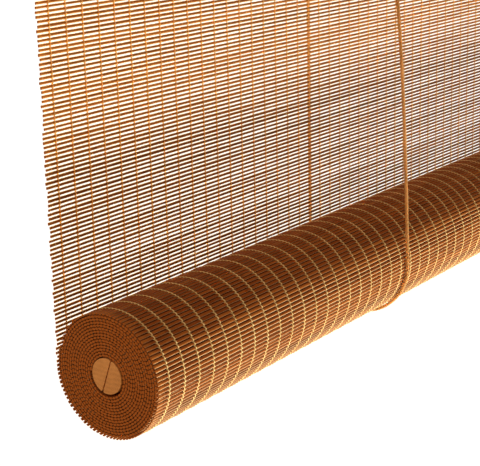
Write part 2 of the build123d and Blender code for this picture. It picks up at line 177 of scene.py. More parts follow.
class BlindCordSettings(bpy.types.PropertyGroup):
    """Sizes of the lift cords."""

    diameter: length_setting("Diameter", "Diameter of a lift cord", 0.003)
    lay: length_setting("Lay", "Length of one turn of a cord's strands", 0.0105)
    strands: IntProperty(name="Strands", description="Strands of a cord", default=3, min=2)
    roll_gap: length_setting("Roll gap", "Gap between a lift cord and the roll", 0.0002)
    lean: angle_setting(
        "Lean", "Lean of a lift cord's front run where it meets the roll", radians(1.4),
    )
    belly: length_setting("Belly", "Height over the roll at which a front run bends back", 0.16)
    neck: length_setting("Neck", "How far a front run hangs straight from its wheel", 0.025)
    knot_tube: length_setting("Knot strand", "Thickness of the cord in its small knots", 0.0021)


class BlindFinishSettings(bpy.types.PropertyGroup):
    """Colours of the finishes."""

    bamboo: colour_setting("Bamboo", "Usual colour of a splint's face", (0.32, 0.075, 0.010))
    bamboo_dark: colour_setting("Dark bamboo", "Colour of darkest splints", (0.15, 0.030, 0.005))
    bamboo_pale: colour_setting("Pale bamboo", "Colour of the palest splints", (0.50, 0.155, 0.028))
    bamboo_edge: colour_setting("Bamboo edge", "Colour of split edges", (1.0, 0.82, 0.48))
    bamboo_glow: colour_setting("Lit edge", "Colour of light through an edge", (1.0, 0.68, 0.16))
    bamboo_cut: colour_setting("Cut bamboo", "Colour of sawn splint ends", (0.58, 0.155, 0.028))
    thread: colour_setting("Thread", "Colour of the warp threads", (0.95, 0.62, 0.28))
    thread_glow: colour_setting("Lit thread", "Colour of light through a thread", (1.0, 0.59, 0.18))
    cord: colour_setting("Cord", "Colour of the lift cords", (0.86, 0.50, 0.19))
    stained: colour_setting("Stained", "Colour of the head batten", SLOT_COLOURS["stained_wood"])
    pale_wood: colour_setting("Pale wood", "Colour of the half-rounds", (0.80, 0.33, 0.08))
    steel: colour_setting("Plated steel", "Colour of bent sheet", SLOT_COLOURS["plated_steel"])
    pin: colour_setting("Pin steel", "Colour of pins, nails and screws", SLOT_COLOURS["pin_steel"])
    brass: colour_setting("Brass", "Colour of the wheels", SLOT_COLOURS["wheel_brass"])


class BlindStageSettings(bpy.types.PropertyGroup):
    """Camera, lamps and floor."""

    camera_place: FloatVectorProperty(
        name="Camera", description="Place of the camera", default=(-1.236, -0.5902, -0.0258),
        subtype="TRANSLATION", precision=4,
    )
    camera_heading: angle_setting(
        "Heading", "Turn of the camera from the wall's normal", radians(53.83),
    )
    camera_tilt: angle_setting("Tilt", "How far the camera looks down", radians(15.64))
    camera_roll: angle_setting("Roll", "Turn of the camera about its view", -0.0235)
    camera_lens: FloatProperty(
        name="Lens", description="Focal length in millimetres", default=104.1, min=1,
    )
    floor_drop: length_setting("Floor drop", "Height of the blind over the floor", 1.2)
    low_power: power_setting("Low lamp", "Power of the soft lamp in front and below", 54.0)
    back_power: power_setting("Back lamp", "Power of the soft lamp behind the mat", 15.0)
    room_light: FloatProperty(
        name="Room light", description="Strength of the even light all round", default=0.5, min=0,
    )


def tube_faces(tubes, rings, sides, closed=False):
    """Side faces of tubes whose vertices run side by side, ring by ring and tube by tube."""
    ring_steps = rings if closed else rings - 1
    tube, ring, side = np.meshgrid(
        np.arange(tubes), np.arange(ring_steps), np.arange(sides), indexing="ij",
    )
    start = tube * rings * sides
    here = start + ring * sides
    ahead = start + (ring + 1) % rings * sides
    beside = (side + 1) % sides
    quads = np.stack([here + side, here + beside, ahead + beside, ahead + side], axis=-1)
    return quads.reshape(-1, 4).tolist()


def cap_faces(tubes, rings, sides):
    """End faces of the same tubes."""
    faces = []
    for tube in range(tubes):
        first = tube * rings * sides
        last = first + (rings - 1) * sides
        faces.append(list(range(first + sides - 1, first - 1, -1)))
        faces.append(list(range(last, last + sides)))
    return faces


def make_piece(name, points, material, body, closed=False, tones=None):
    """A piece of tubes from points indexed by tube, ring and side, riding on a body.

    Splints come with a tone each, and their upper and lower sides are marked as split edges.
    """
    tubes, rings, sides = points.shape[:3]
    faces = tube_faces(tubes, rings, sides, closed)
    if not closed:
        faces += cap_faces(tubes, rings, sides)
    mesh = bpy.data.meshes.new(name)
    mesh.from_pydata(points.reshape(-1, 3).tolist(), [], faces)
    mesh.polygons.foreach_set("use_smooth", [True] * len(mesh.polygons))
    mesh.set_sharp_from_angle(angle=SHARP_ANGLE)
    if tones is not None:
        tone = mesh.attributes.new("tone", "FLOAT", "POINT")
        tone.data.foreach_set("value", np.repeat(tones, rings * sides))
        edge = mesh.attributes.new("edge", "FLOAT", "POINT")
        is_edge = np.abs(np.array(SPLINT_SECTION)[:, 0]) == 1
        edge.data.foreach_set("value", np.tile(is_edge.astype(float), tubes * rings))
    mesh.materials.append(material)
    mesh.validate()
    piece = bpy.data.objects.new(name, mesh)
    bpy.context.scene.collection.objects.link(piece)
    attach(piece, body)
    return piece


SPLINT_SECTION = (
    (0.55, -0.5), (1.0, -0.12), (1.0, 0.12), (0.55, 0.5),
    (-0.55, 0.5), (-1.0, 0.12), (-1.0, -0.12), (-0.55, -0.5),
)


def splint_points(mat, generator, middles, ups, outs, stations, ragged, height, thickness):
    """Points of long splints across the frame's X axis.

    Middles, ups and outs hold one (y, z) pair a splint: its centre, and the directions of its
    height and of its face. Stations are the places along X.
    """
    count = len(middles)
    rings = len(stations)
    heights = height / 2 * (1 + mat.height_spread * generator.uniform(-1, 1, count))
    across = np.array(SPLINT_SECTION)
    along = np.tile(stations, (count, 1))
    along[:, 0] += generator.uniform(0, ragged, count)
    along[:, -1] -= generator.uniform(0, ragged, count)
    sway = np.zeros((count, rings))
    for waves in SWAY_WAVES:
        phase = generator.uniform(0, 2 * pi, (count, 1))
        size = generator.uniform(LEAST_SWAY, 1, (count, 1)) * mat.sway / waves**0.5
        sway += size * np.sin(phase + waves * pi * stations / MAT_HIGH.x)
    phase = generator.uniform(0, 2 * pi, (count, 1))
    swell = 1 + SWELL * np.sin(phase + SWELL_PHASE * stations / MAT_HIGH.x)
    up = heights[:, None, None] * swell[:, :, None] * across[:, 0] + sway[:, :, None]
    out = thickness * across[:, 1]
    points = np.empty((count, rings, len(across), 3))
    points[..., 0] = along[:, :, None]
    for axis in (0, 1):
        points[..., axis + 1] = (
            middles[:, axis, None, None]
            + up * ups[:, axis, None, None]
            + out * outs[:, axis, None, None]
        )
    return points


def drifting_tones(generator, count):
    """Shades of neighbouring splints, which drift slowly and stray from one to the next."""
    places = np.arange(count)
    knots = generator.uniform(0, 1, count // DRIFT_REACH + 3)
    drift = np.interp(places / DRIFT_REACH + generator.uniform(), np.arange(len(knots)), knots)
    return DRIFT_SHARE * drift + STRAY_SHARE * generator.beta(*STRAY_SHAPE, count)


def warp_stations(mat):
    """Places of the warp columns along X."""
    return (np.arange(mat.warp_count) - (mat.warp_count - 1) / 2) * mat.warp_pitch


def warp_points(mat, middles, outs, turn):
    """Points of one thread of every warp pair, two rings for each splint that it binds.

    Each thread winds round its partner as a flattened helix with half a turn a splint.
    """
    steps = len(middles)
    twist = pi / 2 * np.arange(steps) + pi / 4 + turn
    reach = (mat.splint_thickness + mat.warp_thickness) / 2 / cos(pi / 4)
    depth = reach * np.sin(twist)
    throw = mat.warp_throw * np.cos(twist)
    columns = warp_stations(mat)
    corners = np.array(((1, 0), (0, 1), (-1, 0), (0, -1))) / 2
    points = np.empty((len(columns), steps, len(corners), 3))
    points[..., 0] = columns[:, None, None] + throw[:, None] + mat.warp_width * corners[:, 0]
    face = depth[:, None] + mat.warp_thickness * corners[:, 1]
    for axis in (0, 1):
        points[..., axis + 1] = middles[:, axis, None] + face * outs[:, axis, None]
    return points


def splint_rows(mat):
    """Centres of the hanging splints, from the top one down."""
    half = mat.splint_height / 2
    heights = np.linspace(MAT_HIGH.z - half, MAT_LOW.z + half, mat.splint_count)
    return np.stack([np.full(mat.splint_count, (MAT_LOW.y + MAT_HIGH.y) / 2), heights], axis=1)


def splint_pitch(mat):
    """Distance from one splint to the next."""
    rows = splint_rows(mat)
    return rows[0, 1] - rows[1, 1]


def spiral(roll, angles, inset):
    """Places, directions along the mat and outward directions on the wound mat.

    Angles run from the back, under the roll and round; inset is measured in from the face.
    """
    reach = ROLL_RADIUS - roll.turn_pitch * angles / (2 * pi) - inset
    outs = np.stack([np.cos(angles), -np.sin(angles)], axis=1)
    ups = np.stack([np.sin(angles), np.cos(angles)], axis=1)
    middles = np.array((ROLL_AXIS.y, ROLL_AXIS.z)) + reach[:, None] * outs
    return middles, ups, outs


def wound_angles(mat, roll, share=1.0):
    """Angles of the wound splints, one pitch apart along the mat, or share of a pitch."""
    step = splint_pitch(mat) * share
    angles = []
    angle = step / 2 / ROLL_RADIUS
    while angle < 2 * pi * roll.turns:
        angles.append(angle)
        angle += step / (ROLL_RADIUS - roll.turn_pitch * angle / (2 * pi))
    return np.array(angles)


def long_stations(mat):
    """Places along X where a long splint has a ring: its ends and every warp column."""
    return np.concatenate([[MAT_LOW.x], warp_stations(mat), [MAT_HIGH.x]])


def route_line(name, corners):
    """Points along the smooth line that a cord's route corners give."""
    curve = bpy.data.curves.new(name, "CURVE")
    curve.dimensions = "3D"
    curve.resolution_u = 32
    spline = curve.splines.new("NURBS")
    spline.points.add(len(corners) - 1)
    for point, corner in zip(spline.points, corners):
        point.co = (*corner, 1)
    spline.order_u = 3
    spline.use_endpoint_u = True
    holder = bpy.data.objects.new(name, curve)
    line = bpy.data.meshes.new_from_object(holder)
    points = np.array([vertex.co for vertex in line.vertices])
    bpy.data.meshes.remove(line)
    bpy.data.objects.remove(holder)
    bpy.data.curves.remove(curve)
    return points


def even_line(points, spacing):
    """The same line with points an even distance apart, and its length."""
    steps = np.linalg.norm(np.diff(points, axis=0), axis=1)
    reached = np.concatenate([[0], np.cumsum(steps)])
    wanted = np.linspace(0, reached[-1], max(2, round(reached[-1] / spacing) + 1))
    even = np.stack([np.interp(wanted, reached, points[:, axis]) for axis in range(3)], axis=1)
    return even, reached[-1]


def carried_normals(points, first):
    """Tangents of a line and normals carried along it without twist."""
    tangents = np.gradient(points, axis=0)
    tangents /= np.linalg.norm(tangents, axis=1, keepdims=True)
    normals = np.empty_like(points)
    normal = np.array(first, float)
    for index, tangent in enumerate(tangents):
        normal = normal - tangent * (normal @ tangent)
        normal /= np.linalg.norm(normal)
        normals[index] = normal
    return normals, np.cross(tangents, normals)


def ring_points(line, normals, sidewards, radius, sides):
    """Points of circles round the points of a line."""
    angles = 2 * pi * np.arange(sides) / sides
    ring = np.cos(angles)[:, None] * normals[:, None] + np.sin(angles)[:, None] * sidewards[:, None]
    return line[:, None] + radius * ring


def tube_points(points, radius, sides, first=(1, 0, 0)):
    """Points of one round tube along a line."""
    normals, sidewards = carried_normals(points, first)
    return ring_points(points, normals, sidewards, radius, sides)


def rope_points(points, cord, travelled):
    """Points of a cord's twisted strands along a line that starts after a travelled length."""
    normals, sidewards = carried_normals(points, (1, 0, 0))
    steps = np.linalg.norm(np.diff(points, axis=0), axis=1)
    reached = travelled + np.concatenate([[0], np.cumsum(steps)])
    offset = cord.diameter * STRAND_OFFSET
    strands = []
    for strand in range(cord.strands):
        turn = 2 * pi * (reached / cord.lay + strand / cord.strands)
        centres = points + offset * (
            np.cos(turn)[:, None] * normals + np.sin(turn)[:, None] * sidewards
        )
        strands.append(tube_points(centres, cord.diameter * STRAND_RADIUS, STRAND_SIDES))
    return np.array(strands)


def add_node(tree, kind, settings=None, **inputs):
    """A node with its settings, and its inputs set or linked by name."""
    node = tree.nodes.new(kind)
    for name, value in (settings or {}).items():
        setattr(node, name, value)
    for name, value in inputs.items():
        connect(tree, node.inputs[name.replace("_", " ")], value)
    return node


def connect(tree, socket, value):
    """Set a socket, or link another socket into it."""
    if isinstance(value, bpy.types.NodeSocket):
        tree.links.new(value, socket)
    else:
        socket.default_value = value


def do_math(tree, operation, first, second=0.0):
    """A calculation with one or two values."""
    node = tree.nodes.new("ShaderNodeMath")
    node.operation = operation
    connect(tree, node.inputs[0], first)
    connect(tree, node.inputs[1], second)
    return node.outputs[0]


def times(tree, first, second):
    """The product of two values."""
    return do_math(tree, "MULTIPLY", first, second)


def object_place(tree):
    """Place on the object, in metres."""
    return add_node(tree, "ShaderNodeTexCoord").outputs["Object"]


def axis_of(tree, vector, axis):
    """One of a vector's three values."""
    return add_node(tree, "ShaderNodeSeparateXYZ", Vector=vector).outputs[axis]


def sideways(tree):
    """How far a face looks along X, to either side."""
    normal = add_node(tree, "ShaderNodeNewGeometry").outputs["True Normal"]
    return do_math(tree, "ABSOLUTE", axis_of(tree, normal, "X"))


def mix_colour(tree, factor, first, second):
    """A blend of two colours."""
    node = tree.nodes.new("ShaderNodeMix")
    node.data_type = "RGBA"
    connect(tree, node.inputs[0], factor)
    for socket, value in ((node.inputs[6], first), (node.inputs[7], second)):
        connect(tree, socket, value if isinstance(value, bpy.types.NodeSocket) else (*value, 1))
    return node.outputs[2]


def remap(tree, value, low, high, to_low=0.0, to_high=1.0):
    """A value stretched from one range to another and held inside it."""
    return add_node(
        tree, "ShaderNodeMapRange", Value=value, From_Min=low, From_Max=high,
        To_Min=to_low, To_Max=to_high,
    ).outputs["Result"]


def start_group(name, inputs, outputs):
    """A new node group that takes and gives values, and its two end nodes."""
    group = bpy.data.node_groups.new(name, "ShaderNodeTree")
    kind = "NodeSocketFloat"
    for socket_name, default in inputs.items():
        socket = group.interface.new_socket(socket_name, in_out="INPUT", socket_type=kind)
        socket.default_value = default
    for socket_name in outputs:
        group.interface.new_socket(socket_name, in_out="OUTPUT", socket_type=kind)
    return group, group.nodes.new("NodeGroupInput"), group.nodes.new("NodeGroupOutput")


def make_fibre_group():
    """Long fibres and soft blotches that run along X, different for every seed."""
    group, ins, outs = start_group(
        "Long fibres",
        {"Seed": 0.0, "Fibre Length": 12.0, "Fibre Width": 2500.0, "Blotch Length": 14.0},
        ("Fibres", "Blotches", "Height"),
    )
    apart = add_node(group, "ShaderNodeSeparateXYZ", Vector=object_place(group))
    shift = times(group, ins.outputs["Seed"], 173.0)
    along = times(group, apart.outputs["X"], ins.outputs["Fibre Length"])
    fine = add_node(
        group, "ShaderNodeCombineXYZ", X=do_math(group, "ADD", along, shift),
        Y=times(group, apart.outputs["Y"], ins.outputs["Fibre Width"]),
        Z=times(group, apart.outputs["Z"], ins.outputs["Fibre Width"]),
    )
    fibres = add_node(
        group, "ShaderNodeTexNoise", Vector=fine.outputs[0], Scale=1.0, Detail=4.0, Roughness=0.6,
    ).outputs["Fac"]
    broad_along = times(group, apart.outputs["X"], ins.outputs["Blotch Length"])
    broad = add_node(
        group, "ShaderNodeCombineXYZ", X=do_math(group, "ADD", broad_along, shift), Y=shift,
    )
    blotches = add_node(
        group, "ShaderNodeTexNoise", Vector=broad.outputs[0], Scale=1.0, Detail=3.0, Roughness=0.55,
    ).outputs["Fac"]
    group.links.new(remap(group, fibres, 0.3, 0.7), outs.inputs["Fibres"])
    group.links.new(remap(group, blotches, 0.3, 0.7), outs.inputs["Blotches"])
    group.links.new(fibres, outs.inputs["Height"])
    return group


def make_sawn_end_group():
    """Mask of the faces that look along X, and the pores that show there."""
    group, ins, outs = start_group("Sawn end", {"Pore Scale": 2500.0}, ("Mask", "Pores"))
    place = object_place(group)
    flat = add_node(group, "ShaderNodeMapping", Vector=place, Scale=(0, 1, 1)).outputs[0]
    pores = add_node(
        group, "ShaderNodeTexVoronoi", Vector=flat, Scale=ins.outputs["Pore Scale"],
    ).outputs["Distance"]
    group.links.new(remap(group, sideways(group), *SAWN_FACING), outs.inputs["Mask"])
    group.links.new(remap(group, pores, 0.1, 0.6), outs.inputs["Pores"])
    return group


def make_wear_group():
    """Handling wear on raised edges, and dust that settles on upward faces."""
    group, ins, outs = start_group("Wear and dust", {"Patch Scale": 60.0}, ("Wear", "Dust"))
    geometry = add_node(group, "ShaderNodeNewGeometry")
    patches = add_node(
        group, "ShaderNodeTexNoise", Vector=object_place(group), Scale=ins.outputs["Patch Scale"],
        Detail=5.0, Roughness=0.65,
    ).outputs["Fac"]
    edge = remap(group, geometry.outputs["Pointiness"], 0.51, 0.58)
    settled = remap(group, axis_of(group, geometry.outputs["Normal"], "Z"), 0.4, 1.0)
    rough_patches = remap(group, patches, 0.4, 0.65)
    group.links.new(times(group, edge, rough_patches), outs.inputs["Wear"])
    group.links.new(times(group, settled, rough_patches), outs.inputs["Dust"])
    return group


def make_yarn_group():
    """Fuzzy spun yarn: fine fibres and uneven dye."""
    group, ins, outs = start_group("Spun yarn", {"Yarn Scale": 2600.0}, ("Fuzz", "Dye"))
    place = object_place(group)
    fuzz = add_node(
        group, "ShaderNodeTexNoise", Vector=place, Scale=ins.outputs["Yarn Scale"], Detail=2.0,
        Roughness=0.7,
    ).outputs["Fac"]
    dye = add_node(
        group, "ShaderNodeTexNoise", Vector=place, Scale=85.0, Detail=3.0, Roughness=0.6,
    ).outputs["Fac"]
    group.links.new(remap(group, fuzz, 0.3, 0.7), outs.inputs["Fuzz"])
    group.links.new(remap(group, dye, 0.35, 0.65), outs.inputs["Dye"])
    return group


GROUP_MAKERS = {
    "Long fibres": make_fibre_group,
    "Sawn end": make_sawn_end_group,
    "Wear and dust": make_wear_group,
    "Spun yarn": make_yarn_group,
}


def place_group(tree, name, **inputs):
    """A shared node group used in a material, and made the first time that it is asked for."""
    group = bpy.data.node_groups.get(name) or GROUP_MAKERS[name]()
    return add_node(tree, "ShaderNodeGroup", {"node_tree": group}, **inputs)


def start_material(name, **sockets):
    """A new material with its shader's own sockets set."""
    material = bpy.data.materials.new(name)
    material.use_nodes = True
    shader = material.node_tree.nodes["Principled BSDF"]
    for socket_name, value in sockets.items():
        shader.inputs[socket_name.replace("_", " ")].default_value = value
    return material, material.node_tree, shader


def add_bump(tree, shader, height, strength, distance):
    """Relief from a height value."""
    bump = add_node(tree, "ShaderNodeBump", Height=height, Strength=strength, Distance=distance)
    tree.links.new(bump.outputs["Normal"], shader.inputs["Normal"])


def bamboo_material(name, finish, edge_colour, edge_start, edge_share_in_painted_shade, glow):
    """Satin bamboo splints: dark faces, pale split edges that let light through, sawn ends.

    Painted light from below: edges facing down stay pale, other edges are painted in shade to a share of it, and
    downward faces are painted paler.
    """
    material, tree, shader = start_material(
        name, Specular_IOR_Level=0.2, Specular_Tint=(1.0, 0.7, 0.4, 1), IOR=1.12,
    )
    tone = add_node(tree, "ShaderNodeAttribute", {"attribute_name": "tone"}).outputs["Fac"]
    edge = add_node(tree, "ShaderNodeAttribute", {"attribute_name": "edge"}).outputs["Fac"]
    fibres = place_group(tree, "Long fibres", Seed=tone)
    sawn = place_group(tree, "Sawn end")
    blotched = times(tree, fibres.outputs["Blotches"], 0.35)
    shade = do_math(tree, "ADD", blotched, times(tree, tone, 0.65))
    ramp = tree.nodes.new("ShaderNodeValToRGB")
    stops = ((0.12, finish.bamboo_dark), (0.5, finish.bamboo), (0.88, finish.bamboo_pale))
    ramp.color_ramp.elements.new(0.5)
    for element, (place, colour) in zip(ramp.color_ramp.elements, stops):
        element.position = place
        element.color = (*colour, 1)
    connect(tree, ramp.inputs[0], shade)
    streaks = times(tree, fibres.outputs["Fibres"], 0.3)
    streaked = mix_colour(tree, streaks, ramp.outputs[0], finish.bamboo_dark)
    along = axis_of(tree, object_place(tree), "X")
    joints = do_math(
        tree, "ADD", times(tree, along, JOINTS_PER_METRE), times(tree, tone, JOINT_SHIFT),
    )
    from_joint = do_math(
        tree, "ABSOLUTE", do_math(tree, "SUBTRACT", do_math(tree, "FRACT", joints), 0.5),
    )
    joint = remap(tree, from_joint, 0.0, JOINT_REACH, 1.0, 0.0)
    jointed = mix_colour(tree, times(tree, joint, 0.7), streaked, finish.bamboo_dark)
    band_start, band_end = (MAT_HIGH.x - reach for reach in END_BAND)
    near_end = remap(tree, do_math(tree, "ABSOLUTE", along), band_start, band_end)
    ended = mix_colour(tree, times(tree, near_end, 0.5), jointed, finish.bamboo_pale)
    split = remap(tree, edge, edge_start, 1.0)
    normal = add_node(tree, "ShaderNodeNewGeometry").outputs["Normal"]
    upward = axis_of(tree, normal, "Z")
    # Painted light and shade: edges facing down keep the pale edge colour, edges facing up or sideways are painted
    # in shade
    painted_edge_light = remap(tree, upward, -0.75, -0.1, 0.95, edge_share_in_painted_shade)
    # Painted light: faces that look down are painted paler, as if lit from below
    painted_light_below = mix_colour(tree, remap(tree, upward, -0.9, -0.1, 0.34, 0.0), ended, edge_colour)
    edged = mix_colour(tree, times(tree, split, painted_edge_light), painted_light_below, edge_colour)
    cut = mix_colour(
        tree, remap(tree, sawn.outputs["Pores"], 0, 1, 0.4, 1.0), finish.bamboo_dark,
        finish.bamboo_cut,
    )
    colour = mix_colour(tree, sawn.outputs["Mask"], edged, cut)
    tree.links.new(colour, shader.inputs["Base Color"])
    if glow:
        solid = remap(tree, sideways(tree), *SAWN_FACING, 1.0, 0.0)
        through = remap(tree, split, 0, 1, glow * FACE_GLOW, glow)
        tree.links.new(times(tree, through, solid), shader.inputs["Transmission Weight"])
    rough = remap(tree, fibres.outputs["Fibres"], 0, 1, 0.45, 0.6)
    tree.links.new(rough, shader.inputs["Roughness"])
    relief = do_math(tree, "ADD", fibres.outputs["Height"], joint)
    add_bump(tree, shader, relief, strength=0.3, distance=0.0002)
    return material


def yarn_material(name, colour, glow, scale):
    """Matte spun yarn that light seeps through."""
    material, tree, shader = start_material(
        name, Roughness=0.85, Sheen_Weight=0.1, Transmission_Weight=glow, IOR=1.08,
        Specular_IOR_Level=0.15,
    )
    yarn = place_group(tree, "Spun yarn", Yarn_Scale=scale)
    deep = tuple(channel**1.35 * 0.75 for channel in colour)
    pale = tuple(min(1.0, channel * 1.3 + 0.02) for channel in colour)
    dyed = mix_colour(tree, yarn.outputs["Dye"], tuple(colour), deep)
    lit = mix_colour(tree, times(tree, yarn.outputs["Fuzz"], 0.5), dyed, pale)
    tree.links.new(lit, shader.inputs["Base Color"])
    add_bump(tree, shader, yarn.outputs["Fuzz"], strength=0.5, distance=0.00025)
    return material


def timber_material(name, colour, sheen, grain_width):
    """Planed timber with long grain on its sides, and rings on its sawn ends."""
    material, tree, shader = start_material(
        name, Coat_Weight=sheen, Coat_Roughness=0.3, Specular_IOR_Level=0.22,
    )
    fibres = place_group(
        tree, "Long fibres", Fibre_Length=9.0, Fibre_Width=grain_width, Blotch_Length=5.0,
    )
    sawn = place_group(tree, "Sawn end", Pore_Scale=1600.0)
    wear = place_group(tree, "Wear and dust", Patch_Scale=45.0)
    drift = add_node(
        tree, "ShaderNodeMapping", Vector=object_place(tree), Location=(0, 0.021, 0.047),
        Scale=(0.08, 1, 1),
    ).outputs[0]
    rings = add_node(
        tree, "ShaderNodeTexWave", {"wave_type": "RINGS", "rings_direction": "X"}, Vector=drift,
        Scale=95.0, Distortion=3.2, Detail=3.0, Detail_Scale=1.4,
    ).outputs["Fac"]
    deep = tuple(channel**1.25 * 0.62 for channel in colour)
    pale = tuple(min(1.0, channel * 1.22 + 0.015) for channel in colour)
    grained = mix_colour(tree, rings, deep, tuple(colour))
    streaked = mix_colour(tree, times(tree, fibres.outputs["Fibres"], 0.45), grained, pale)
    blotched = mix_colour(tree, times(tree, fibres.outputs["Blotches"], 0.3), streaked, deep)
    pored = mix_colour(tree, sawn.outputs["Pores"], deep, tuple(colour))
    ended = mix_colour(tree, times(tree, sawn.outputs["Mask"], 0.55), blotched, pored)
    worn = mix_colour(tree, times(tree, wear.outputs["Wear"], 0.6), ended, pale)
    dusty = mix_colour(tree, times(tree, wear.outputs["Dust"], 0.12), worn, (0.6, 0.56, 0.5))
    tree.links.new(dusty, shader.inputs["Base Color"])
    rough = remap(tree, fibres.outputs["Fibres"], 0, 1, 0.42, 0.6)
    tree.links.new(rough, shader.inputs["Roughness"])
    add_bump(tree, shader, fibres.outputs["Height"], strength=0.3, distance=0.0003)
    return material


def metal_material(name, colour, roughness, brushed):
    """Metal with brushing along X, wear on its edges and a little dust."""
    material, tree, shader = start_material(name, Metallic=1.0)
    fibres = place_group(
        tree, "Long fibres", Fibre_Length=120.0, Fibre_Width=brushed, Blotch_Length=70.0,
    )
    wear = place_group(tree, "Wear and dust", Patch_Scale=180.0)
    deep = tuple(channel * 0.7 for channel in colour)
    bright = tuple(min(1.0, channel * 1.25) for channel in colour)
    streaked = mix_colour(tree, times(tree, fibres.outputs["Fibres"], 0.3), tuple(colour), deep)
    worn = mix_colour(tree, wear.outputs["Wear"], streaked, bright)
    dusty = mix_colour(tree, times(tree, wear.outputs["Dust"], 0.18), worn, (0.5, 0.47, 0.42))
    tree.links.new(dusty, shader.inputs["Base Color"])
    uneven = remap(tree, fibres.outputs["Blotches"], 0, 1, roughness, roughness + 0.14)
    dulled = do_math(tree, "ADD", times(tree, wear.outputs["Dust"], 0.2), uneven)
    tree.links.new(dulled, shader.inputs["Roughness"])
    add_bump(tree, shader, fibres.outputs["Height"], strength=0.12, distance=0.0001)
    return material


def finish_nodes(material, slot):
    """Give a material to every shown solid that the record lists under a slot."""
    for subpart in frame["record"]["subparts"]:
        solid = frame["nodes"][subpart["node"]]
        if subpart["material_slot"] == slot and not solid.hide_render:
            solid.data.materials.clear()
            solid.data.materials.append(material)


class BLIND_OT_hang_mat(bpy.types.Operator):
    """Lay the hanging splints one above another"""

    bl_idname = "blind.hang_mat"
    bl_label = "Hang Mat"

    def execute(self, context):
        mat = context.scene.blind_mat
        generator = np.random.default_rng(mat.seed)
        middles = splint_rows(mat)
        ups = np.tile((0.0, 1.0), (mat.splint_count, 1))
        outs = np.tile((1.0, 0.0), (mat.splint_count, 1))
        points = splint_points(
            mat, generator, middles, ups, outs, long_stations(mat), mat.ragged,
            mat.splint_height, mat.splint_thickness,
        )
        tones = drifting_tones(generator, mat.splint_count)
        finish = context.scene.blind_finish
        # Painted light: downward faces of the hanging splints are painted paler, and their edges keep most of
        # their paleness whichever way they face
        material = bamboo_material(
            "bamboo_hung", finish, finish.bamboo_glow, edge_start=0.0, edge_share_in_painted_shade=0.9, glow=0.95,
        )
        piece = make_piece("hanging_splints", points, material, "root", tones=tones)
        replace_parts(piece, "hanging_mat")
        squash_hanging(piece)
        return {"FINISHED"}


def squash_hanging(piece):
    """Give a hanging piece a mesh of its own."""
    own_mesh(piece)


class BLIND_OT_tie_warps(bpy.types.Operator):
    """Tie the hanging splints with twisted pairs of warp thread"""

    bl_idname = "blind.tie_warps"
    bl_label = "Tie Warps"

    def execute(self, context):
        mat = context.scene.blind_mat
        rows = splint_rows(mat)
        pitch = splint_pitch(mat)
        first = rows[0, 1] + pitch / 4
        heights = first - pitch / 2 * np.arange(2 * mat.splint_count)
        middles = np.stack([np.full(len(heights), rows[0, 0]), heights], axis=1)
        outs = np.tile((1.0, 0.0), (len(heights), 1))
        colour = context.scene.blind_finish.thread_glow
        material = yarn_material("thread_hung", colour, glow=0.8, scale=THREAD_FUZZ)
        for name, turn in (("warps_hanging_a", 0.0), ("warps_hanging_b", pi)):
            points = warp_points(mat, middles, outs, turn)
            piece = make_piece(name, points, material, "root")
            squash_hanging(piece)
            if turn == 0:
                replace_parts(piece, "warp_threads")
        return {"FINISHED"}


class BLIND_OT_roll_mat(bpy.types.Operator):
    """Wind the lower part of the mat splint by splint, with its warps on the outer turn"""

    bl_idname = "blind.roll_mat"
    bl_label = "Roll Mat"

    def execute(self, context):
        scene = context.scene
        mat, roll = scene.blind_mat, scene.blind_roll
        generator = np.random.default_rng(mat.seed + 1)
        angles = wound_angles(mat, roll)
        outer = angles < 2 * pi * OUTER_TURNS
        finish = scene.blind_finish
        # Edges of the roll that don't face down are painted in shade, down to 0.12 of their pale colour
        material = bamboo_material(
            "bamboo_wound", finish, finish.bamboo_edge, edge_start=0.1, edge_share_in_painted_shade=0.12, glow=0.0,
        )
        for name, chosen, stations, height, thickness in (
            ("wound_splints_outer", outer, long_stations(mat), mat.splint_height,
             mat.splint_thickness),
            ("wound_splints_inner", ~outer, np.array((MAT_LOW.x, MAT_HIGH.x)), roll.inner_height,
             roll.inner_thickness),
        ):
            middles, ups, outs = spiral(roll, angles[chosen], mat.splint_thickness / 2)
            points = splint_points(
                mat, generator, middles, ups, outs, stations, roll.ragged, height, thickness,
            )
            tones = drifting_tones(generator, len(middles))
            piece = make_piece(name, points, material, "roll", tones=tones)
            if name == "wound_splints_outer":
                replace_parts(piece, "rolled_mat")
        half_steps = wound_angles(mat, roll, 0.5)
        half_steps = half_steps[half_steps < 2 * pi]
        middles, _, outs = spiral(roll, half_steps, mat.splint_thickness / 2)
        thread = yarn_material("thread_wound", finish.thread, glow=0.0, scale=THREAD_FUZZ)
        for name, turn in (("warps_wound_a", 0.0), ("warps_wound_b", pi)):
            points = warp_points(mat, middles, outs, turn)
            make_piece(name, points, thread, "roll")
        return {"FINISHED"}


class BLIND_OT_run_cords(bpy.types.Operator):
    """Lay the two lift cords and tie their knots"""

    bl_idname = "blind.run_cords"
    bl_label = "Run Cords"

    def execute(self, context):
        scene = context.scene
        cord = scene.blind_cord
        colour = scene.blind_finish.cord
        material = yarn_material("cord_yarn", colour, glow=0.55, scale=CORD_FUZZ)
        lit = yarn_material("cord_yarn_lit", colour, glow=0.95, scale=CORD_FUZZ)
        pull_knot = tie_pull_knot(material, cord)
        for side in ("left", "right"):
            stopper = tie_stopper(material, cord, side)
            lay_cord(material, lit, cord, scene.blind_roll, side)
        return {"FINISHED"}


def tangent_corner(first, second):
    """Corner, from the roll's axis, between two tangents given by their angle and reach."""
    angles = np.array((first[0], second[0]))
    outs = np.stack([np.cos(angles), -np.sin(angles)], axis=1)
    return np.linalg.solve(outs, (first[1], second[1]))


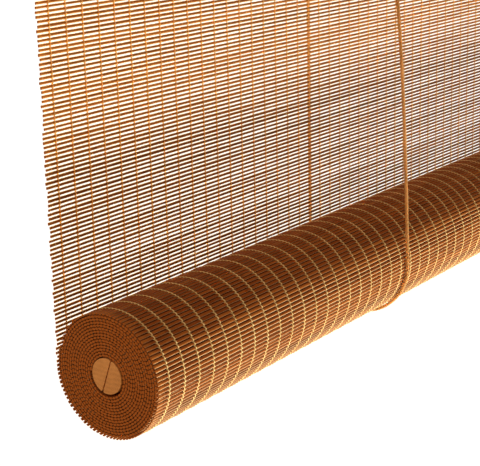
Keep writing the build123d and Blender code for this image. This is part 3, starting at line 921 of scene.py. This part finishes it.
def cord_corners(side, cord, roll):
    """Corners of a lift cord's route, run by run, from the lath to the pull knot.

    Under the roll and over the wheels the corners stand on tangents an eighth of a turn apart.
    """
    radius = cord.diameter / 2
    back_low, back_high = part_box(f"cord_back_{side}")
    front_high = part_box(f"cord_front_{side}")[1]
    rail_low, rail_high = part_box(f"cord_rail_{side}")
    x = (back_low.x + back_high.x) / 2
    back_y = (back_low.y + back_high.y) / 2
    rail_y = (rail_low.y + rail_high.y) / 2
    axis_y, axis_z = ROLL_AXIS.y, ROLL_AXIS.z
    snug = ROLL_RADIUS + radius + cord.roll_gap
    back_reach = back_y - axis_y
    under_reach = snug - roll.turn_pitch / 4
    low_reach = snug - roll.turn_pitch * 3 / 8
    front_reach = snug - roll.turn_pitch / 2
    top = Vector((x, rail_y, front_high.z))
    lean = cord.lean
    sides = (
        (0.0, back_reach), (pi / 4, (back_reach + under_reach) / 2), (pi / 2, under_reach),
        (pi * 3 / 4, low_reach), (pi + lean, front_reach),
    )
    turned = [tangent_corner(first, second) for first, second in zip(sides, sides[1:])]
    leave = Vector((x, axis_y - front_reach * cos(lean), axis_z + front_reach * sin(lean)))
    back = [(x, back_y, back_high.z), (x, back_y, (back_high.z + back_low.z) / 2),
            (x, back_y, back_low.z)]
    bight = [back[-1], *((x, axis_y + y, axis_z + z) for y, z in turned), tuple(leave)]
    front = [
        tuple(leave), (x, leave.y + cord.belly * tan(lean), leave.z + cord.belly),
        (x, top.y, top.z - cord.neck), tuple(top),
    ]
    drop_x = rail_high.x - radius
    rail_z = rail_high.z - radius
    bend = (rail_z - front_high.z) * (1 - tan(pi / 8))
    rail = [
        tuple(top),
        (x, rail_y, rail_z - bend),
        (x + bend, rail_y, rail_z),
        ((x + drop_x) / 2, rail_y, rail_z),
        (drop_x - bend, rail_y, rail_z),
        (drop_x, rail_y, rail_z - bend),
        (drop_x, rail_y, rail_low.z),
    ]
    return {"back": back, "bight": bight, "front": front, "rail": rail}


def lay_cord(material, lit, cord, roll, side):
    """Lay one lift cord's four runs, end to end with their strands in step, the back one lit."""
    travelled = 0.0
    runs = cord_corners(side, cord, roll)
    for run, corners in runs.items():
        route = route_line(f"route_{run}_{side}", corners)
        line, length = even_line(route, cord.lay / POINTS_PER_LAY)
        points = rope_points(line, cord, travelled)
        travelled += length
        piece = make_piece(
            f"lift_cord_{run}_{side}", points, lit if run == "back" else material,
            "slings" if run == "bight" else "root",
        )
        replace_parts(piece, f"cord_{run}_{side}")
        if run == "back":
            squash_hanging(piece)
        elif run == "front":
            squash_hanging(piece)


def tie_stopper(material, cord, side):
    """Overhand knot that keeps a lift cord from slipping through the lath."""
    low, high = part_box(f"cord_knot_{side}")
    middle = np.array((low + high) / 2)
    tube = cord.knot_tube / 2
    wide = ((high.x - low.x) / 2 - tube) / 3
    tall = (high.z - low.z) / 2 - tube
    turn = 2 * pi * np.arange(STOPPER_POINTS) / STOPPER_POINTS
    line = middle + np.stack(
        [
            wide * (np.sin(turn) + 2 * np.sin(2 * turn)),
            wide * (np.cos(turn) - 2 * np.cos(2 * turn)),
            -tall * np.sin(3 * turn),
        ],
        axis=1,
    )
    points = closed_tube(line, tube, sides=8)
    piece = make_piece(
        f"stopper_knot_{side}", points[None], material, "root", closed=True,
    )
    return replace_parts(piece, f"cord_knot_{side}")


def closed_tube(line, radius, sides):
    """Points of a round tube along a closed line."""
    tangents = np.roll(line, -1, axis=0) - np.roll(line, 1, axis=0)
    tangents /= np.linalg.norm(tangents, axis=1, keepdims=True)
    outward = line - line.mean(axis=0)
    normals = outward - tangents * (outward * tangents).sum(axis=1, keepdims=True)
    normals /= np.linalg.norm(normals, axis=1, keepdims=True)
    return ring_points(line, normals, np.cross(tangents, normals), radius, sides)


def tie_pull_knot(material, cord):
    """Barrel knot that both lift cords end in: close turns of cord, narrower at both ends."""
    low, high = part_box("pull_knot")
    middle = (low + high) / 2
    tube = cord.diameter / 2
    reach = (high.x - low.x) / 2 - tube
    share = np.linspace(0, 1, BARREL_POINTS)
    angle = 2 * pi * BARREL_TURNS * share
    swell = reach * (1 - BARREL_TAPER * (2 * share - 1) ** 4)
    line = np.stack(
        [
            middle.x + swell * np.cos(angle),
            middle.y + swell * np.sin(angle),
            high.z - tube - share * (high.z - low.z - 2 * tube),
        ],
        axis=1,
    )
    points = tube_points(line, tube, sides=10, first=(0, 0, 1))
    piece = make_piece("barrel_knot", points[None], material, "root")
    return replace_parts(piece, "pull_knot")


class BLIND_OT_finish_timber(bpy.types.Operator):
    """Grain and finish of the head batten, the lath and the half-round bottom battens"""

    bl_idname = "blind.finish_timber"
    bl_label = "Finish Timber"

    def execute(self, context):
        finish = context.scene.blind_finish
        for name, colour, sheen, grain_width, slot in (
            ("stained_timber", finish.stained, 0.06, 700.0, "stained_wood"),
            ("pale_timber", finish.pale_wood, 0.0, 1100.0, "pale_wood"),
        ):
            finish_nodes(timber_material(name, colour, sheen, grain_width), slot)
        return {"FINISHED"}


class BLIND_OT_finish_metal(bpy.types.Operator):
    """Finishes of the brackets, the lock, the wheels, pins, nails and screws"""

    bl_idname = "blind.finish_metal"
    bl_label = "Finish Metal"

    def execute(self, context):
        finish = context.scene.blind_finish
        for name, colour, roughness, brushed, slot in (
            ("plated_sheet", finish.steel, 0.3, 1800.0, "plated_steel"),
            ("bright_pins", finish.pin, 0.22, 2600.0, "pin_steel"),
            ("turned_brass", finish.brass, 0.26, 2200.0, "wheel_brass"),
        ):
            finish_nodes(metal_material(name, colour, roughness, brushed), slot)
        return {"FINISHED"}


class BLIND_OT_set_stage(bpy.types.Operator):
    """Set up the pale floor, the soft lamps and the camera"""

    bl_idname = "blind.set_stage"
    bl_label = "Set Stage"

    def execute(self, context):
        stage = context.scene.blind_stage
        lay_floor(stage)
        hang_lamps(stage)
        light_room(context.scene, stage)
        place_camera(context.scene, stage)
        context.scene.view_settings.view_transform = "Standard"
        return {"FINISHED"}


def seen_directly(tree):
    """1 where the camera sees a surface directly, in a mirror or through glass."""
    path = add_node(tree, "ShaderNodeLightPath").outputs
    seen = do_math(tree, "MAXIMUM", path["Is Camera Ray"], path["Is Glossy Ray"])
    return do_math(tree, "MAXIMUM", seen, path["Is Transmission Ray"])


def lay_floor(stage):
    """Pale floor below the blind."""
    level = CAD_BOX[0].z - stage.floor_drop
    mesh = bpy.data.meshes.new("floor")
    corners = [
        (x * FLOOR_REACH, y * FLOOR_REACH, level) for x, y in ((-1, -1), (1, -1), (1, 1), (-1, 1))
    ]
    mesh.from_pydata(corners, [], [(0, 1, 2, 3)])
    floor = bpy.data.objects.new("floor", mesh)
    bpy.context.scene.collection.objects.link(floor)
    material, tree, shader = start_material(
        "pale_floor", Base_Color=(0.86, 0.86, 0.86, 1), Roughness=0.9,
        Emission_Color=(1, 1, 1, 1),
    )
    glow = times(tree, seen_directly(tree), FLOOR_GLOW)
    tree.links.new(glow, shader.inputs["Emission Strength"])
    mesh.materials.append(material)


def hang_lamps(stage):
    """A low soft lamp in front of the roll, and one behind the mat."""
    for name, place, target, size, power, colour in (
        ("lamp_low", (0.15, -0.80, -1.55), (-0.05, -0.02, -0.36), (1.5, 0.16), stage.low_power,
         (1.0, 1.0, 0.84)),
        ("lamp_back", (0.1, 1.3, 0.5), (0.0, 0.03, -0.2), (1.6, 1.0), stage.back_power,
         (1.0, 0.95, 0.86)),
    ):
        light = bpy.data.lights.new(name, "AREA")
        light.shape = "RECTANGLE"
        light.size, light.size_y = size
        light.energy = power
        light.color = colour
        lamp = bpy.data.objects.new(name, light)
        lamp.location = place
        lamp.rotation_euler = (Vector(target) - Vector(place)).to_track_quat("-Z", "Y").to_euler()
        lamp.visible_camera = False
        bpy.context.scene.collection.objects.link(lamp)


def light_room(scene, stage):
    """Even, slightly warm light all round that the camera sees as plain white."""
    world = bpy.data.worlds.new("room")
    world.use_nodes = True
    tree = world.node_tree
    seen = seen_directly(tree)
    background = tree.nodes["Background"]
    tree.links.new(mix_colour(tree, seen, ROOM_TINT, (1, 1, 1)), background.inputs["Color"])
    tree.links.new(remap(tree, seen, 0, 1, stage.room_light, 1.0), background.inputs["Strength"])
    scene.world = world


def place_camera(scene, stage):
    """The camera at the picture's place and angle."""
    data = bpy.data.cameras.new("camera")
    data.sensor_width = 36.0
    data.lens = stage.camera_lens
    data.clip_start = 0.05
    camera = bpy.data.objects.new("camera", data)
    scene.collection.objects.link(camera)
    aim = Euler((pi / 2 - stage.camera_tilt, 0, -stage.camera_heading)).to_matrix()
    turn = Matrix.Rotation(stage.camera_roll, 3, "Z")
    camera.matrix_world = Matrix.Translation(stage.camera_place) @ (aim @ turn).to_4x4()
    scene.camera = camera


STEPS = (
    "hang_mat", "tie_warps", "roll_mat", "run_cords", "finish_timber", "finish_metal", "set_stage",
)


class BLIND_PT_steps(bpy.types.Panel):
    """The blind's steps in the order in which they are made"""

    bl_idname = "BLIND_PT_steps"
    bl_label = "Bamboo Blind"
    bl_space_type = "VIEW_3D"
    bl_region_type = "UI"
    bl_category = "Blind"

    def draw(self, context):
        for step in STEPS:
            self.layout.operator(f"blind.{step}")


SETTINGS = {
    "blind_mat": BlindMatSettings,
    "blind_roll": BlindRollSettings,
    "blind_cord": BlindCordSettings,
    "blind_finish": BlindFinishSettings,
    "blind_stage": BlindStageSettings,
}
CLASSES = (
    *SETTINGS.values(), BLIND_OT_hang_mat, BLIND_OT_tie_warps, BLIND_OT_roll_mat,
    BLIND_OT_run_cords, BLIND_OT_finish_timber, BLIND_OT_finish_metal, BLIND_OT_set_stage,
    BLIND_PT_steps,
)


def register():
    """Add the blind's classes and settings."""
    for cls in CLASSES:
        bpy.utils.register_class(cls)
    for name, group in SETTINGS.items():
        setattr(bpy.types.Scene, name, PointerProperty(type=group))


def unregister():
    """Take them out again."""
    for name in SETTINGS:
        delattr(bpy.types.Scene, name)
    for cls in reversed(CLASSES):
        bpy.utils.unregister_class(cls)


def main():
    """Make every piece and the stage."""
    register()
    for step in STEPS:
        getattr(bpy.ops.blind, step)()


if __name__ == "__main__":
    main()
